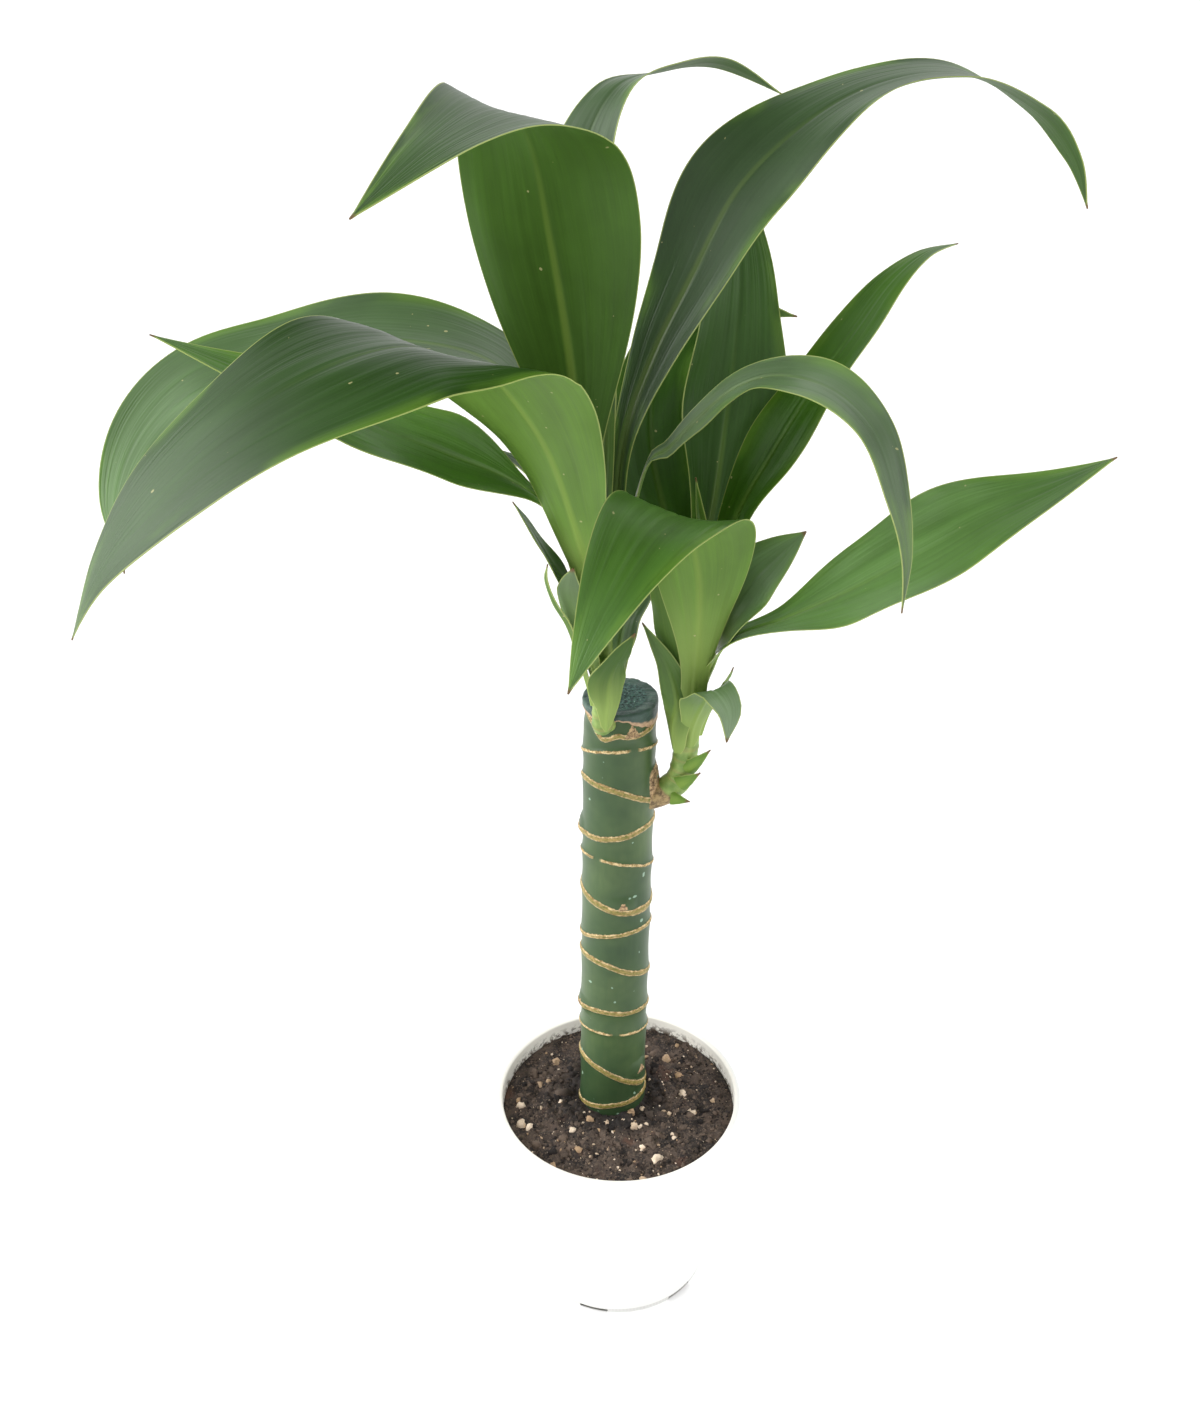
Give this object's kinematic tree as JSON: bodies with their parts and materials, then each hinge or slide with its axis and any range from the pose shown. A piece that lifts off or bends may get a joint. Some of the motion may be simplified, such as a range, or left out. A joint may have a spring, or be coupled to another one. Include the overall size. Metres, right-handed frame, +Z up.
{
  "type": "potted corn plant",
  "caption": "Potted corn plant: a cut, wax-sealed cane with two shoots of arching strap leaves, rooted in soil in a plain white plastic nursery pot.",
  "frame": {"origin": "centre of the pot's base, on the face that the pot stands on", "axes": "+Z up along the pot's axis, +X to the right of the side seen in the picture, which faces -Y"},
  "size_m": [0.4878, 0.3413, 0.756],
  "materials": {
    "pot": "smooth white moulded plastic, satin",
    "soil": "crumbly dark potting mix with pale perlite grains",
    "cane": "smooth dark green bark with raised tan leaf-scar rings",
    "wax": "rough dark teal-green sealing wax, dull",
    "stem": "smooth pale green stem with brown scars",
    "leaf": "leathery green leaf with fine lengthwise ribs and a soft sheen"
  },
  "bodies": {
    "root": {"pot": "pot", "soil": "soil", "cane": "cane", "wax_seal": "wax", "left_stem": "stem", "right_stem": "stem", "left_leaf_front_sheath": "leaf", "left_leaf_short_right": "leaf", "left_leaf_curled": "leaf", "left_leaf_low": "leaf", "left_leaf_blunt": "leaf", "left_leaf_under": "leaf", "left_leaf_back_low": "leaf", "left_leaf_sweeping": "leaf", "left_leaf_back_arching": "leaf", "left_leaf_drooping_right": "leaf", "left_leaf_upright": "leaf", "left_leaf_back_high": "leaf", "left_leaf_arching_right": "leaf", "right_leaf_basal": "leaf", "right_leaf_drooping_small": "leaf", "right_leaf_scale": "leaf", "right_leaf_behind_front": "leaf", "right_leaf_front": "leaf", "right_leaf_spreading": "leaf", "right_leaf_short": "leaf", "right_leaf_back_left": "leaf", "right_leaf_straight": "leaf", "right_leaf_broad_back": "leaf", "right_leaf_spear": "leaf"}
  },
  "joints": []
}
